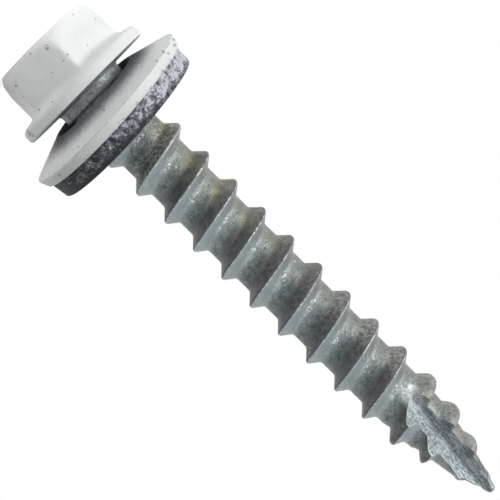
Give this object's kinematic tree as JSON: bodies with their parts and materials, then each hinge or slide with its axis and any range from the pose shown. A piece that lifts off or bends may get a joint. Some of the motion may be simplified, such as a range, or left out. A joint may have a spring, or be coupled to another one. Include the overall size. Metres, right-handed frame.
{
  "type": "hex washer head roofing screw with sealing washer",
  "caption": "Metal roofing screw: white hex washer head, captive dished sealing washer with rubber gasket, coarse wood thread and fluted cutting point.",
  "frame": {"origin": "middle of the head's top face, on the screw's axis; the screw stands on that face", "axes": "+Z along the screw's axis from the head to the point; -Y faces the picture's camera; the hex flats' normals lie at 51 degrees from +X and every 60 degrees on"},
  "size_m": [0.0133, 0.0132, 0.043],
  "materials": {
    "zinc_steel": "dull zinc plating on the shank, white paint on the head",
    "white_paint": "satin white paint on steel",
    "rubber": "black rubber with a pale overspray of paint"
  },
  "bodies": {
    "screw": {"screw": "zinc_steel"},
    "washer": {"washer_cup": "white_paint", "washer_gasket": "rubber"}
  },
  "joints": [
    {"name": "washer_spin", "type": "hinge", "parent": "screw", "child": "washer", "pos_m": [0, 0, 0.0069], "axis": [-0.048, 0.1251, 0.991], "continuous": true}
  ]
}
